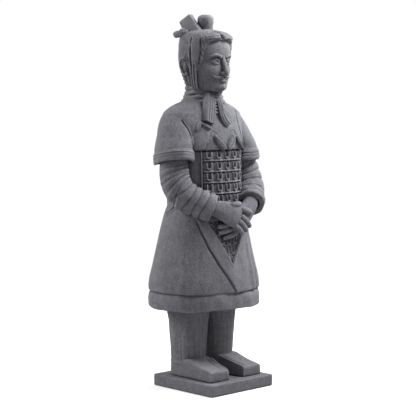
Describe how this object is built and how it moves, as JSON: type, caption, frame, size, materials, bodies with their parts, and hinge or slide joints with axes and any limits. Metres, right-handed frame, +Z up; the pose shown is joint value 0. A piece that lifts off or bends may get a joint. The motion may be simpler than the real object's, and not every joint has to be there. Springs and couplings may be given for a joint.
{
  "type": "terracotta warrior statue",
  "caption": "Standing ancient Chinese officer in armour, scarf and long robe with clasped hands, cast in dark grey stone on a thin square plinth.",
  "frame": {"origin": "centre of the plinth's underside", "axes": "+Z up; the figure faces -Y; +X is towards the figure's own left hand"},
  "size_m": [0.3537, 0.291, 1.0323],
  "materials": {
    "cast_stone": "matt, fine sandy grain"
  },
  "bodies": {
    "root": {"figure": "cast_stone", "plinth": "cast_stone"}
  },
  "joints": []
}
